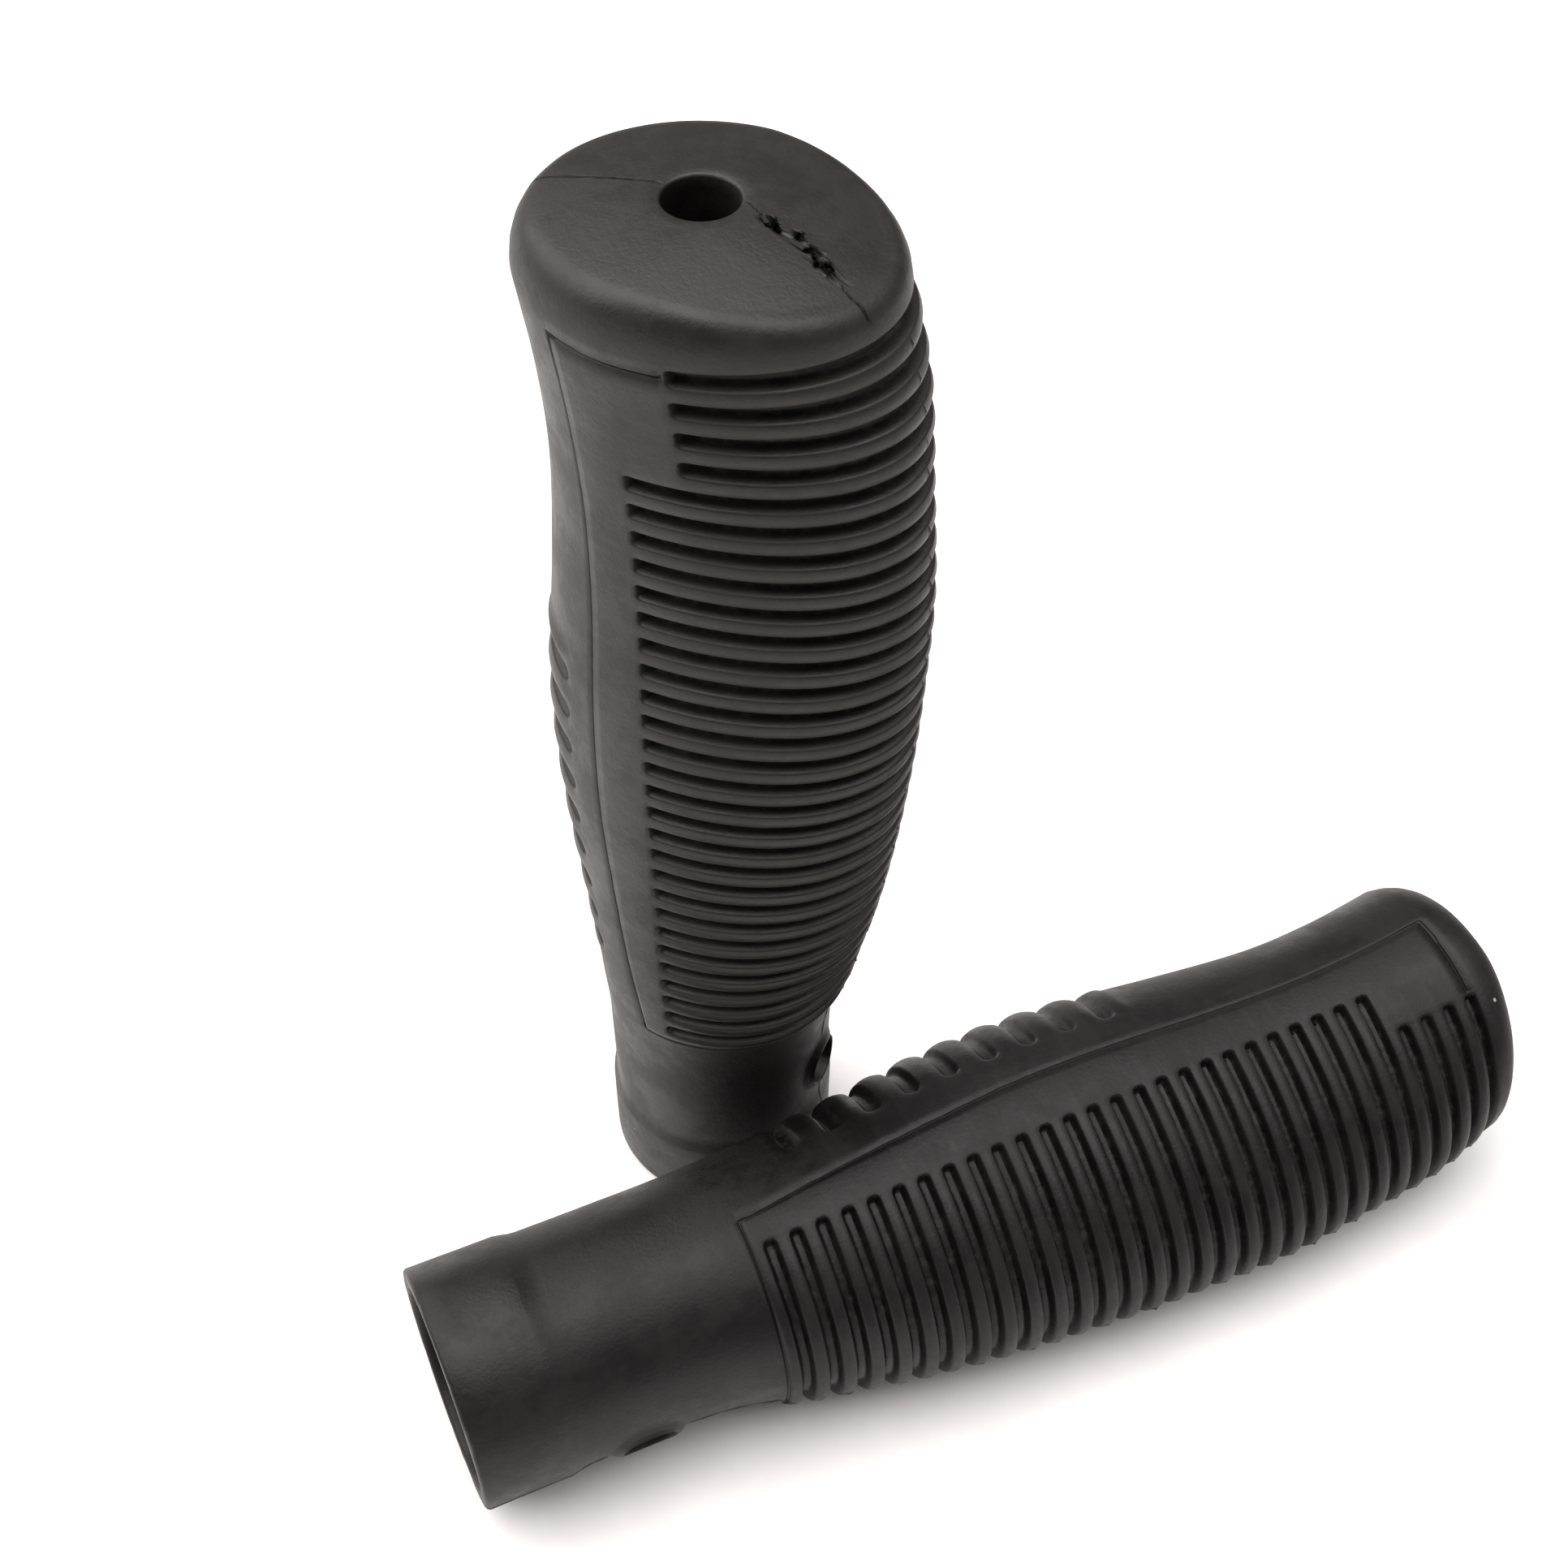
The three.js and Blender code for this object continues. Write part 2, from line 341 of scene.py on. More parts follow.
def padLift(height, turn):  # how far the ribbed pad raises the skin
    share = (1 - smoothShare(height, *skin["footFade"])) * (1 - smoothShare(turn, *skin["footWrap"]))
    return padShare(height, turn) * (skin["padRise"] + skin["footRise"] * share)


def ragged(turn, height):  # how the trimmed edge of the mouth wanders, by up to 1
    place = Vector((math.cos(math.radians(turn)), math.sin(math.radians(turn)), 0))
    broad, fine = skin["raggedScales"]
    wander = noise.noise(place * broad) + 0.5 * noise.noise(place * fine)
    return max(wander, 0) * (1 - smoothShare(height, *skin["raggedFade"]))


def roundedForBoss(arc, height):  # bends rows and columns into circles round the boss
    a, b = arc / boss["foot"], (height - boss["height"]) / boss["foot"]
    most = max(abs(a), abs(b), 1)
    fade = 1 - (most - 1) / boss["blend"]
    if fade <= 0:
        return arc, height
    a, b = a / most, b / most
    shrinkA, shrinkB = math.sqrt(1 - b * b / 2) - 1, math.sqrt(1 - a * a / 2) - 1
    return arc + a * shrinkA * boss["foot"] * fade, height + b * shrinkB * boss["foot"] * fade


def edgeShare(row, column):  # how far a groove's edge is from its middle, as a share of half the width
    cap = shortCap if row["short"] else longCap
    if not row["top"] or column < cap + len(capColumns):
        return capShare(column, cap)
    if column <= padColumn + 1:  # the line round the pad runs on from the highest groove
        return line["half"] / groove["half"]
    return min(1, 0.4 * (column - padColumn - 1))


def skinPlaces(row):
    places = []
    for column, turn in enumerate(halfTurns(row["palm"])):
        palmShare = 1 - smoothShare(turn, *skin["palmToFinger"])
        height = row["finger"] + (row["palm"] - row["finger"]) * palmShare
        if row.get("edge"):
            height += row["edge"] * groove["half"] * (edgeShare(row, column) - 1)
        if row.get("scoopEdge"):
            height += row["scoopEdge"] * scoop["half"] * (capShare(column, scoopCap, True) - 1)
        arc = math.radians(turn) * skin["neckRadius"]
        if turn < 90:
            arc, height = roundedForBoss(arc, height)
        height += skin["raggedness"] * ragged(turn, height)
        angle = arc / skin["neckRadius"]
        palm, finger, side = swellAt(max(height, skin["swell"][0][0]))
        lift = row.get("rise", 0) + padLift(height, turn)
        wave = Vector((math.cos(angle), math.sin(angle), height / skin["waveHeight"]))
        lift += skin["waviness"] * noise.noise(wave * skin["waveScale"])
        if row.get("edge") == 0:
            lift += groove["crown"] * (1 - smoothShare(turn, *groove["crownFade"]))
        isClear = abs(height - boss["height"]) > boss["foot"] + boss["clear"]
        if column in (0, halfCount) and isClear and not (row.get("edge") or row.get("scoopEdge")):
            ripple = noise.noise(Vector((0, column, height * seam["ripple"])))
            lift += seam["rise"] * (seam["steady"] + ripple)
        pillow = row.get("pillow", 0) * smoothShare(turn - scoop["tip"], *scoop["crownFade"])
        lift += scoop["crown"] * pillow
        across = math.cos(angle) * ((palm if turn < 90 else finger) + lift)
        places.append(Vector((across, math.sin(angle) * (side + lift), height)))
    return places


def roundPlaces(height, radius):  # a plain ring, such as in the bore
    angles = [math.radians(turn) for turn in halfTurns(height)]
    return [Vector((radius * math.cos(angle), radius * math.sin(angle), height)) for angle in angles]


def endPlaces():  # over the rounding to the rim of the end, and over its domed face to the vent
    shoulder = skin["swell"][-1][0]
    palm, finger, side = swellAt(shoulder)
    turns = halfTurns(shoulder)
    rings = [[] for step in skin["endCurve"] + skin["faceShares"]]
    for turn in turns:
        angle = math.radians(turn)
        across, sideways = math.cos(angle), math.sin(angle)
        rim = skin["length"] - skin["rimDrop"] - skin["palmDrop"] * max(across, 0) ** skin["palmShape"]
        curve = 1 + (skin["fingerCurve"] - 1) * max(-across, 0)
        radius = palm if turn < 90 else finger
        for ring, (up, inward) in zip(rings, skin["endCurve"]):
            inward *= curve
            height = shoulder + up * (rim - shoulder)
            ring.append(Vector((across * (radius - inward), sideways * (side - inward), height)))
        edge = rings[len(skin["endCurve"]) - 1][-1]
        vent = Vector((across, sideways, 0)) * (skin["ventRadius"] + skin["ventEdge"])
        for ring, share in zip(rings[len(skin["endCurve"]):], skin["faceShares"]):
            place = edge.lerp(vent, share)
            place.z = skin["length"] - (skin["length"] - edge.z) * (1 - share) ** skin["dome"]
            ring.append(place)
    return rings


def innerRings():  # down the vent, over the inside of the end wall, down the bore and out at the mouth
    top, vent, bore = skin["length"], skin["ventRadius"], skin["boreRadius"]
    floor = top - skin["endWall"]
    rings = [(top, vent + 0.3), (top - 0.08, vent + 0.1)]
    rings += [(height, vent) for height in (top - 0.3, top - 1.2, top - 3, floor + 0.5)]
    rings += [(floor + 0.1, vent + 0.1), (floor, vent + 0.5), (floor, 7), (floor, bore - 0.8)]
    rings += [(floor - 0.25, bore - 0.2), (floor - 0.9, bore)]
    rings += [(height, bore) for height in spread(floor - 10, 6, 9)]
    rings += [(height, bore + out) for height, out in skin["mouthEdge"]]
    return rings


def placeRing(ring, places):
    for column, corner in enumerate(ring):
        step = min(column, columnCount - column)
        place = places[step]
        mirrored = -1 if column > halfCount else 1
        corner.co = (place.x, place.y * mirrored, place.z)


rubbing = {"rib": 1.0, "groove": 0.15, "collar": 0.8, "neck": 0.3, "end": 0.25}


def rubbedBy(row):  # how much hands rub a row: most on the middle of each rib and on the collar
    if "edge" in row:
        return rubbing["rib"] if row["edge"] == 0 else rubbing["groove"]
    isCollar = row["rise"] >= skin["collarRise"] * skin["collarStep"][0][1]
    return rubbing["collar"] if isCollar else rubbing["neck"]


def loftSkin(bm):  # one ring of edges drawn up the outside, over the end, down the bore and back to itself
    rows = neckRows() + padRows()
    places = [skinPlaces(row) for row in rows]
    places += endPlaces()
    places += [roundPlaces(height, radius) for height, radius in innerRings()]
    columnMark = bm.verts.layers.int.new("column")
    rubbedMark = bm.verts.layers.float.new("rubbed")
    ring = bmesh.ops.create_circle(bm, segments=columnCount, radius=1)["verts"]
    for column, corner in enumerate(ring):
        corner[columnMark] = column
    rings = []
    for number, ringPlaces in enumerate(places):
        if number:
            edges = [bm.edges.get((ring[i - 1], ring[i])) for i in range(columnCount)]
            made = bmesh.ops.extrude_edge_only(bm, edges=edges)["geom"]
            corners = [part for part in made if isinstance(part, bmesh.types.BMVert)]
            ring = sorted(corners, key=lambda corner: corner[columnMark])
        placeRing(ring, ringPlaces)
        rings.append(ring)
        for corner in ring:
            corner[rubbedMark] = rubbedBy(rows[number]) if number < len(rows) else rubbing["end"]
    edges = []
    for ring in (rings[0], rings[-1]):
        edges += [bm.edges.get((ring[i - 1], ring[i])) for i in range(columnCount)]
    bmesh.ops.bridge_loops(bm, edges=edges)
    bmesh.ops.recalc_face_normals(bm, faces=bm.faces)
    return rows, rings


def cell(bm, rings, row, column):  # the face between two rows and two columns
    after = (column + 1) % columnCount
    low, high = rings[row], rings[row + 1]
    return bm.faces.get((low[column], low[after], high[after], high[column]))


def sink(bm, faces, hollow, even=True):  # steps a patch in and down, and marks how deep it is
    hollowMark = bm.verts.layers.float["hollow"]
    deep = 0
    for inward, down in hollow:
        bm.normal_update()
        bmesh.ops.inset_region(
            bm, faces=faces, thickness=inward, depth=-down, use_boundary=True, use_even_offset=even
        )
        deep += down
        for face in faces:
            for corner in face.verts:
                corner[hollowMark] = deep


def stripAcross(bm, rings, row, steps):  # cells in one band, given as columns counted from the palm line
    cells = []
    for step in steps:
        cells += [cell(bm, rings, row, step), cell(bm, rings, row, columnCount - 1 - step)]
    return cells


def grooveCells(bm, rows, rings):
    faces = []
    for number, row in enumerate(rows):
        if row.get("edge") == -1:
            cap = shortCap if row["short"] else longCap
            faces += stripAcross(bm, rings, number, range(cap + len(capColumns) - 1))
    return faces


def scoopCells(bm, rows, rings):
    faces = []
    for number, row in enumerate(rows):
        if row.get("scoopEdge") == -1:
            faces += stripAcross(bm, rings, number, range(scoopCap, halfCount))
    return faces


def bossCells(bm, rows, rings):
    lowest = boss["height"] - boss["foot"]
    start = min(range(len(rows)), key=lambda number: abs(rows[number]["palm"] - lowest))
    faces = []
    for row in range(start, start + boss["half"]):
        faces += stripAcross(bm, rings, row, range(boss["half"]))
    return faces


def lineCells(bm, rows, rings):  # from the highest groove down both sides of the pad and across the neck
    foot = next(n for n, row in enumerate(rows) if row["palm"] >= skin["padFoot"] - line["half"] - 0.01)
    top = max(n for n, row in enumerate(rows) if row.get("edge") == -1)
    roundCorners(bm, rings, foot, top)
    faces = stripAcross(bm, rings, foot, range(padColumn + 1))
    faces += stripAcross(bm, rings, top, range(shortCap + len(capColumns) - 1, padColumn))
    for row in range(foot + 1, top + 1):
        faces += stripAcross(bm, rings, row, [padColumn])
    return faces


def roundCorners(bm, rings, foot, top):  # of the line round the pad
    for side in (1, -1):
        for row, reach in ((top, 3), (foot, 2)):
            patch = [
                rings[row + i][(side * (padColumn + j)) % columnCount]
                for i in range(-reach, reach + 1) for j in range(-3, 4)
                if row + i < len(rings)
            ]
            bmesh.ops.smooth_vert(
                bm, verts=patch, factor=0.5, use_axis_x=True, use_axis_y=True, use_axis_z=True
            )


def raiseBoss(bm, faces):  # a low round boss on the neck with a blind hole in it
    disc = bmesh.ops.dissolve_faces(bm, faces=faces, use_verts=True)["region"]
    sink(bm, disc, boss["rim"], False)
    corners = list(disc[0].verts)
    outermost = max(corner.co.x for corner in corners)
    pivot = Matrix.Translation((-outermost, 0, 0))
    bmesh.ops.scale(bm, vec=(boss["flatness"], 1, 1), space=pivot, verts=corners)
    hollowMark = bm.verts.layers.float["hollow"]
    deep = 0
    for inward, down in boss["hollow"]:
        bmesh.ops.inset_region(bm, faces=disc, thickness=inward, depth=0, use_boundary=True)
        corners = list(disc[0].verts)
        bmesh.ops.translate(bm, vec=(-down, 0, 0), verts=corners)
        deep += down
        for corner in corners:
            corner[hollowMark] = deep
    bmesh.ops.poke(bm, faces=disc)


def scratchEnd(bm, start, end, half, depth):  # a furrow across the end, or with a negative depth a burr
    # also marks deep furrows and tears with a mask of painted shade, which the material darkens
    paintedShadeMark = bm.verts.layers.float["tornAndShaded"]
    start, end = Vector((*start, 0)), Vector((*end, 0))
    along = (end - start).normalized()
    beside = Vector((-along.y, along.x, 0))
    length = (end - start).length
    faces = []
    for face in bm.faces:
        middle = face.calc_center_median()
        out = math.hypot(middle.x, middle.y)
        offset = middle - start
        before, aside = seam["before"], seam["aside"]
        isNear = -before < offset.dot(along) < length + before and abs(offset.dot(beside)) < aside
        if isNear and middle.z > skin["length"] - seam["below"] and out > skin["ventRadius"] + before:
            faces.append(face)
    for share in (-2, -1, 0, 1, 2):
        corners = dict.fromkeys(corner for face in faces for corner in face.verts)
        edges = dict.fromkeys(edge for face in faces for edge in face.edges)
        onPlane = start + beside * share * half
        cut = bmesh.ops.bisect_plane(
            bm, geom=[*corners, *edges, *faces], dist=1e-4, plane_co=onPlane, plane_no=beside
        )
        faces = [part for part in cut["geom"] if isinstance(part, bmesh.types.BMFace)]
    bm.normal_update()
    for corner in dict.fromkeys(corner for face in faces for corner in face.verts):
        offset = corner.co - start
        reach, away = offset.dot(along), abs(offset.dot(beside))
        if away > half * 1.1 or not 0 <= reach <= length:
            continue
        if depth > 0:
            # painted shade mask: the deeper the furrow, the darker it is painted
            corner[paintedShadeMark] = max(corner[paintedShadeMark], smoothShare(depth, *seam["paintedShadeDepths"]))
        if away < half * 0.1:
            share = min(1, (min(reach, length - reach) + 0.05) / seam["taper"])
            corner.co -= corner.normal * depth * share


def partEnd(bm):  # the seam across the closed end, and the marks where its flash was torn off
    for points in seam["acrossEnd"]:
        for start, end in zip(points, points[1:]):
            scratchEnd(bm, start, end, seam["half"], seam["depth"])
    draws = random.Random(seam["seed"])
    tornAndShaded = seam["tornAndShaded"]
    for tear in range(seam["tears"]):
        at = draws.random() * (len(tornAndShaded) - 1)
        low, high = Vector(tornAndShaded[int(at)]), Vector(tornAndShaded[int(at) + 1])
        aside = Vector((0, draws.uniform(-seam["tearSpread"], seam["tearSpread"])))
        middle = low.lerp(high, at % 1) + aside
        turn = math.atan2(high.y - low.y, high.x - low.x)
        turn += draws.uniform(-seam["tearTurn"], seam["tearTurn"])
        reach = Vector((math.cos(turn), math.sin(turn))) * draws.uniform(*seam["tearLength"])
        isBurr = tear % seam["burrEvery"] == 0
        depth = -draws.uniform(*seam["burrRise"]) if isBurr else draws.uniform(*seam["tearDepth"])
        scratchEnd(bm, middle - reach, middle + reach, draws.uniform(*seam["tearWidth"]), depth)


def trimMouth(bm, lean):  # leans the trimmed face of the mouth, by so many millimetres at the skin
    for corner in bm.verts:
        cut = corner.co.x * lean[0] + corner.co.y * lean[1]
        share = 1 - smoothShare(corner.co.z, 0, layout["leanReach"])
        corner.co.z += share * (cut / skin["neckRadius"] + math.hypot(*lean))


def gripMesh(name, place, lean):
    bm = bmesh.new()
    bm.verts.layers.float.new("hollow")
    # a mask of painted shade in the furrows and tears across the end
    bm.verts.layers.float.new("tornAndShaded")
    rows, rings = loftSkin(bm)
    lines, grooves = lineCells(bm, rows, rings), grooveCells(bm, rows, rings)
    scoops, disc = scoopCells(bm, rows, rings), bossCells(bm, rows, rings)
    sink(bm, lines, line["hollow"])
    sink(bm, grooves, groove["hollow"])
    sink(bm, scoops, scoop["hollow"])
    raiseBoss(bm, disc)
    partEnd(bm)
    trimMouth(bm, lean)
    bmesh.ops.scale(bm, vec=(mm, mm, mm), verts=bm.verts)
    bmesh.ops.transform(bm, matrix=place, verts=bm.verts)
    bmesh.ops.recalc_face_normals(bm, faces=bm.faces)
    for face in bm.faces:
        face.smooth = True
    mesh = bpy.data.meshes.new(name)
    bm.to_mesh(mesh)
    bm.free()
    return mesh


def newGroup(name, inputs, outputs):
    tree = bpy.data.node_groups.new(name, "ShaderNodeTree")
    for label, kind, value in inputs:
        socket = tree.interface.new_socket(name=label, in_out="INPUT", socket_type=kind)
        if value is not None:
            socket.default_value = value
    for label, kind in outputs:
        tree.interface.new_socket(name=label, in_out="OUTPUT", socket_type=kind)
    return tree, tree.nodes.new("NodeGroupInput").outputs, tree.nodes.new("NodeGroupOutput").inputs


def addNoise(tree, place, scale, detail, roughness=0.5):
    node = tree.nodes.new("ShaderNodeTexNoise")
    node.inputs["Detail"].default_value = detail
    node.inputs["Roughness"].default_value = roughness
    tree.links.new(place, node.inputs["Vector"])
    setInput(tree, node.inputs["Scale"], scale)
    return node.outputs["Fac"]


def setInput(tree, socket, value):  # links a socket, or sets a number or colour
    if isinstance(value, bpy.types.NodeSocket):
        tree.links.new(value, socket)
    else:
        socket.default_value = value


def addMath(tree, operation, first, second=0.0):
    node = tree.nodes.new("ShaderNodeMath")
    node.operation = operation
    setInput(tree, node.inputs[0], first)
    setInput(tree, node.inputs[1], second)
    return node.outputs[0]


def addRange(tree, value, low, high, toLow=0.0, toHigh=1.0):  # eases a value from one range to another
    node = tree.nodes.new("ShaderNodeMapRange")
    node.interpolation_type = "SMOOTHSTEP"
    for label, number in (("From Min", low), ("From Max", high), ("To Min", toLow), ("To Max", toHigh)):
        node.inputs[label].default_value = number
    tree.links.new(value, node.inputs["Value"])
    return node.outputs["Result"]


def addMix(tree, share, first, second):
    node = tree.nodes.new("ShaderNodeMix")
    node.data_type = "RGBA"
    setInput(tree, node.inputs["Factor"], share)
    setInput(tree, node.inputs["A"], first)
    setInput(tree, node.inputs["B"], second)
    return node.outputs["Result"]


grainLook = {
    "fine": (3.0, 0.6),  # detail and roughness
    "broad": (4.0, 0.55),
    "middling": 5.5,  # how much finer than the patches
    "middlingHeight": 0.8,
    "broadShare": 0.75,
    "contrast": (0.36, 0.64),
}


def makeGrain():  # the fine grain that the mould leaves, and broad uneven patches of shade
    inputs = [("Place", "NodeSocketVector", None), ("Grains", "NodeSocketFloat", 2600.0)]
    inputs += [("Patches", "NodeSocketFloat", 160.0)]
    outputs = [("Height", "NodeSocketFloat"), ("Patchiness", "NodeSocketFloat")]
    tree, given, put = newGroup("mouldedGrain", inputs, outputs)
    fine = addNoise(tree, given["Place"], given["Grains"], *grainLook["fine"])
    broad = addNoise(tree, given["Place"], given["Patches"], *grainLook["broad"])
    finer = addMath(tree, "MULTIPLY", given["Patches"], grainLook["middling"])
    middling = addNoise(tree, given["Place"], finer, 2.0)
    rough = addMath(tree, "MULTIPLY", middling, grainLook["middlingHeight"])
    tree.links.new(addMath(tree, "ADD", fine, rough), put["Height"])
    mostly = addMath(tree, "MULTIPLY", broad, grainLook["broadShare"])
    partly = addMath(tree, "MULTIPLY", middling, 1 - grainLook["broadShare"])
    patches = addMath(tree, "ADD", mostly, partly)
    tree.links.new(addRange(tree, patches, *grainLook["contrast"]), put["Patchiness"])
    return tree


dustLook = {
    "depths": (0.7, 1.1),  # where dust begins to settle and where it is thickest
    "clumps": (900.0, 3.0, 0.65),  # scale, detail and roughness
    "contrast": (0.45, 0.7),
    "speckSize": 0.022,
    "speckLimit": 0.7,  # share of the cells without a speck
}


def makeDust():  # pale dust, thin in the hollows, and a few single specks
    inputs = [("Place", "NodeSocketVector", None), ("Hollow", "NodeSocketFloat", 0.0)]
    inputs += [("Specks", "NodeSocketFloat", 95.0), ("Amount", "NodeSocketFloat", 0.5)]
    outputs = [("Dust", "NodeSocketFloat"), ("Speck", "NodeSocketFloat")]
    tree, given, put = newGroup("settledDust", inputs, outputs)
    sunk = addRange(tree, given["Hollow"], *dustLook["depths"])
    clumps = addNoise(tree, given["Place"], *dustLook["clumps"])
    clumps = addRange(tree, clumps, *dustLook["contrast"])
    settled = addMath(tree, "MULTIPLY", addMath(tree, "MULTIPLY", sunk, clumps), given["Amount"])
    tree.links.new(settled, put["Dust"])
    cells = tree.nodes.new("ShaderNodeTexVoronoi")
    tree.links.new(given["Place"], cells.inputs["Vector"])
    tree.links.new(given["Specks"], cells.inputs["Scale"])
    chosen = tree.nodes.new("ShaderNodeSeparateColor")
    tree.links.new(cells.outputs["Color"], chosen.inputs["Color"])
    near = addMath(tree, "LESS_THAN", cells.outputs["Distance"], dustLook["speckSize"])
    isChosen = addMath(tree, "GREATER_THAN", chosen.outputs[0], dustLook["speckLimit"])
    tree.links.new(addMath(tree, "MULTIPLY", near, isChosen), put["Speck"])
    return tree


rubLook = {"patches": (420.0, 5.0, 0.7), "contrast": (0.4, 0.68), "rubbed": (0.3, 1.0)}


def makeRub():  # where hands have rubbed the skin
    inputs = [("Place", "NodeSocketVector", None), ("Rubbed", "NodeSocketFloat", 0.0)]
    inputs += [("Amount", "NodeSocketFloat", 0.5)]
    tree, given, put = newGroup("rubbedSkin", inputs, [("Mask", "NodeSocketFloat")])
    patches = addNoise(tree, given["Place"], *rubLook["patches"])
    patches = addRange(tree, patches, *rubLook["contrast"])
    edges = addRange(tree, given["Rubbed"], *rubLook["rubbed"])
    worn = addMath(tree, "MULTIPLY", patches, edges)
    tree.links.new(addMath(tree, "MULTIPLY", worn, given["Amount"]), put["Mask"])
    return tree


def addGroup(tree, group, **values):
    node = tree.nodes.new("ShaderNodeGroup")
    node.node_tree = group
    for label, value in values.items():
        setInput(tree, node.inputs[label], value)
    return node.outputs


def addAttribute(tree, name):
    node = tree.nodes.new("ShaderNodeAttribute")
    node.attribute_name = name
    return node.outputs["Fac"]


grainGroup, dustGroup, rubGroup = makeGrain(), makeDust(), makeRub()

rubber = {
    "roughness": (0.43, 0.54),
    "dustColour": (0.16, 0.145, 0.13, 1),
    "speckColour": (0.3, 0.29, 0.27, 1),
    # painted shade: the dark colour put into deep furrows and tears
    "paintedShadeColour": (0.0015, 0.0012, 0.0012, 1),
    "rubbedColour": (0.018, 0.015, 0.015, 1),
    "grainDepth": 0.00006,
    "grainStrength": 0.55,
    "rubPolish": 0.08,  # how much smoother a rubbed place is
    "dustDulling": 0.35,  # and how much duller a dusty one
    # each moulding's two shades, how dusty it is, how rubbed and how glossy
    "standing_grip": {
        "dark": (0.0058, 0.0038, 0.0040, 1),
        "light": (0.0098, 0.0066, 0.0066, 1),
        "dust": 0.16,
        "rub": 0.4,
        "gloss": 0.42,
    },
    "lying_grip": {
        "dark": (0.0034, 0.0022, 0.0026, 1),
        "light": (0.0062, 0.0044, 0.0048, 1),
        "dust": 0.12,
        "rub": 0.3,
        "gloss": 0.31,
    },
}


def rubberMaterial(node):
    finish = rubber[node]
    material = bpy.data.materials.new(node.replace("_grip", "Rubber"))
    material.use_nodes = True
    tree = material.node_tree
    shader = tree.nodes["Principled BSDF"]
    place = tree.nodes.new("ShaderNodeTexCoord").outputs["Object"]
    grain = addGroup(tree, grainGroup, Place=place)
    hollow, rubbed, tornAndShaded = [addAttribute(tree, name) for name in ("hollow", "rubbed", "tornAndShaded")]
    dust = addGroup(tree, dustGroup, Place=place, Hollow=hollow, Amount=finish["dust"])
    rub = addGroup(tree, rubGroup, Place=place, Rubbed=rubbed, Amount=finish["rub"])["Mask"]
    shade = addMix(tree, grain["Patchiness"], finish["dark"], finish["light"])
    shade = addMix(tree, rub, shade, rubber["rubbedColour"])
    shade = addMix(tree, dust["Dust"], shade, rubber["dustColour"])
    shade = addMix(tree, dust["Speck"], shade, rubber["speckColour"])
    # painted shade in the deep furrows and tears
    shade = addMix(tree, tornAndShaded, shade, rubber["paintedShadeColour"])
    tree.links.new(shade, shader.inputs["Base Color"])
    low, high = rubber["roughness"]
    sheen = addRange(tree, grain["Patchiness"], 0.0, 1.0, low, high)
    sheen = addMath(tree, "SUBTRACT", sheen, addMath(tree, "MULTIPLY", rub, rubber["rubPolish"]))
    dulling = addMath(tree, "MULTIPLY", dust["Dust"], rubber["dustDulling"])
    sheen = addMath(tree, "ADD", sheen, dulling)
    tree.links.new(sheen, shader.inputs["Roughness"])
    bump = tree.nodes.new("ShaderNodeBump")
    bump.inputs["Strength"].default_value = rubber["grainStrength"]
    bump.inputs["Distance"].default_value = rubber["grainDepth"]
    tree.links.new(grain["Height"], bump.inputs["Height"])
    tree.links.new(bump.outputs["Normal"], shader.inputs["Normal"])
    shader.inputs["Specular IOR Level"].default_value = finish["gloss"]
    tree.links.new(tornAndShaded, shader.inputs["Metallic"])  # painted shade: with a dark colour and full metallic, a deep furrow or tear throws almost no light back, standing in for the shade inside it
    return material


layout = {
    "standingTurn": -47.4,
    "lyingRoll": -74.6,
    # how the face of each mouth leans, towards the palm and to the side
    "lean": {"standing_grip": (0, 0), "lying_grip": (0.35, -0.32)},
    "leanReach": 9,  # how far up the neck the lean fades out
}


def socketOf(name):
    openings = frame["record"]["physics"]["openings"]
    return next(opening["box_m"] for opening in openings if opening["name"] == name)


def standingPlace():
    low, high = socketOf("standing_socket")
    middle = Vector(((low[0] + high[0]) / 2, (low[1] + high[1]) / 2, 0))
    return Matrix.Translation(middle) @ Matrix.Rotation(math.radians(layout["standingTurn"]), 4, "Z")


def lyingPlace():
    low, high = socketOf("lying_socket")
    mouth = Vector((low[0], (low[1] + high[1]) / 2, (low[2] + high[2]) / 2))
    laid = Matrix.Rotation(math.pi / 2, 4, "Y")
    rolled = Matrix.Rotation(math.radians(layout["lyingRoll"]), 4, "X")
    return Matrix.Translation(mouth) @ rolled @ laid


for node, place in (("standing_grip", standingPlace()), ("lying_grip", lyingPlace())):
    mesh = gripMesh(node, place, layout["lean"][node])
    grip = bpy.data.objects.new(node.replace("_grip", "_rubber_grip"), mesh)
    grip.data.materials.append(rubberMaterial(node))
    bpy.context.scene.collection.objects.link(grip)
    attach(grip, node)
    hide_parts(node)
    print("made", grip.name, len(grip.data.vertices), "corners", len(grip.data.polygons), "faces")


floor = {"size": 6.0, "dark": (0.86, 0.852, 0.848, 1), "light": (0.9, 0.893, 0.89, 1), "speckle": 60.0}


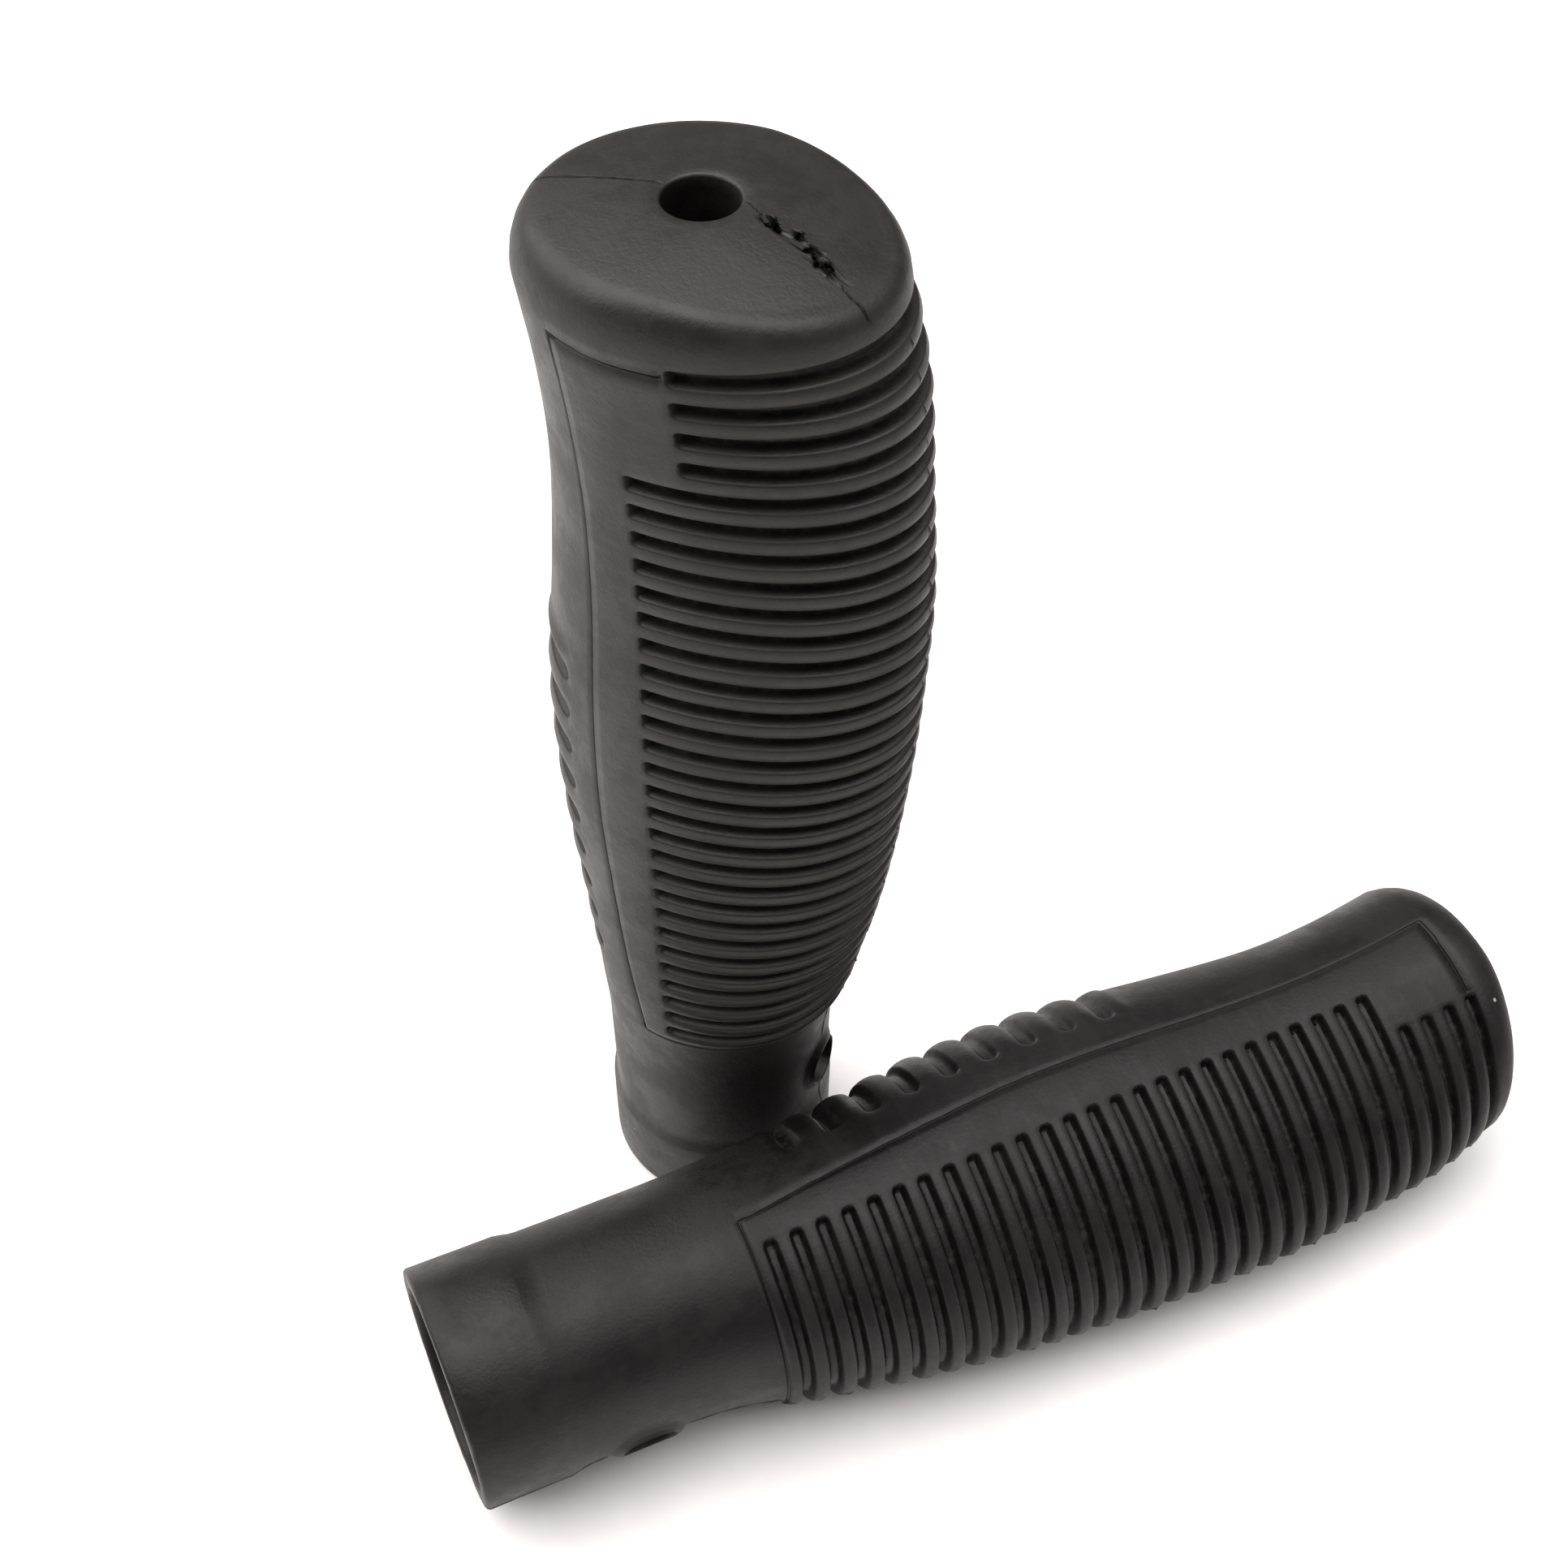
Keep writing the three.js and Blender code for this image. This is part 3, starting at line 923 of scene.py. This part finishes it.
def makeFloor():
    bm = bmesh.new()
    bmesh.ops.create_grid(bm, x_segments=1, y_segments=1, size=floor["size"] / 2)
    mesh = bpy.data.meshes.new("floor")
    bm.to_mesh(mesh)
    bm.free()
    table = bpy.data.objects.new("floor", mesh)
    material = bpy.data.materials.new("palePaper")
    material.use_nodes = True
    tree = material.node_tree
    shader = tree.nodes["Principled BSDF"]
    place = tree.nodes.new("ShaderNodeTexCoord").outputs["Object"]
    grain = addGroup(tree, grainGroup, Place=place, Grains=1500.0, Patches=floor["speckle"])
    shade = addMix(tree, grain["Patchiness"], floor["dark"], floor["light"])
    tree.links.new(shade, shader.inputs["Base Color"])
    shader.inputs["Roughness"].default_value = 0.9
    mesh.materials.append(material)
    bpy.context.scene.collection.objects.link(table)
    print("made the floor")


# A wide soft light above and behind on the left, and a plain dim room round it.
light = {
    "sky": 0.27,
    "lamps": [
        {
            "name": "key",
            "place": (-0.55, 0.45, 0.95),
            "size": 1.55,
            "power": 26.0,
            "colour": (1, 0.955, 0.94),
        },
        {
            "name": "overhead",
            "place": (0.3, -0.1, 1.2),
            "size": 1.1,
            "power": 14.0,
            "colour": (1, 0.96, 0.955),
        },
    ],
}


def makeLight():
    world = bpy.data.worlds.new("dimRoom")
    world.use_nodes = True
    world.node_tree.nodes["Background"].inputs["Color"].default_value = (1, 1, 1, 1)
    world.node_tree.nodes["Background"].inputs["Strength"].default_value = light["sky"]
    bpy.context.scene.world = world
    for lamp in light["lamps"]:
        data = bpy.data.lights.new(lamp["name"], "AREA")
        data.size = lamp["size"]
        data.energy = lamp["power"]
        data.color = lamp["colour"]
        source = bpy.data.objects.new(lamp["name"], data)
        source.location = lamp["place"]
        source.rotation_euler = (-Vector(lamp["place"])).to_track_quat("-Z", "Y").to_euler()
        bpy.context.scene.collection.objects.link(source)
    print("made the light")


view = {
    "fromStanding": (-0.04637, -0.12002, 0.21059),  # the camera's place from the foot of the standing grip
    "heading": 24.231,
    "tilt": 49.149,
    "roll": 0.909,
    "lens": 44.302,
}


def makeCamera():
    data = bpy.data.cameras.new("camera")
    data.lens = view["lens"]
    data.sensor_width = 36
    data.clip_start = 0.01
    camera = bpy.data.objects.new("camera", data)
    turned = Matrix.Rotation(math.radians(-view["heading"]), 4, "Z")
    tilted = Matrix.Rotation(math.radians(90 - view["tilt"]), 4, "X")
    rolled = Matrix.Rotation(math.radians(view["roll"]), 4, "Z")
    foot = standingPlace().translation + Vector(view["fromStanding"])
    camera.matrix_world = Matrix.Translation(foot) @ turned @ tilted @ rolled
    bpy.context.scene.collection.objects.link(camera)
    bpy.context.scene.camera = camera
    print("made the camera")


makeFloor()
makeLight()
makeCamera()
bpy.context.scene.view_settings.view_transform = "Standard"
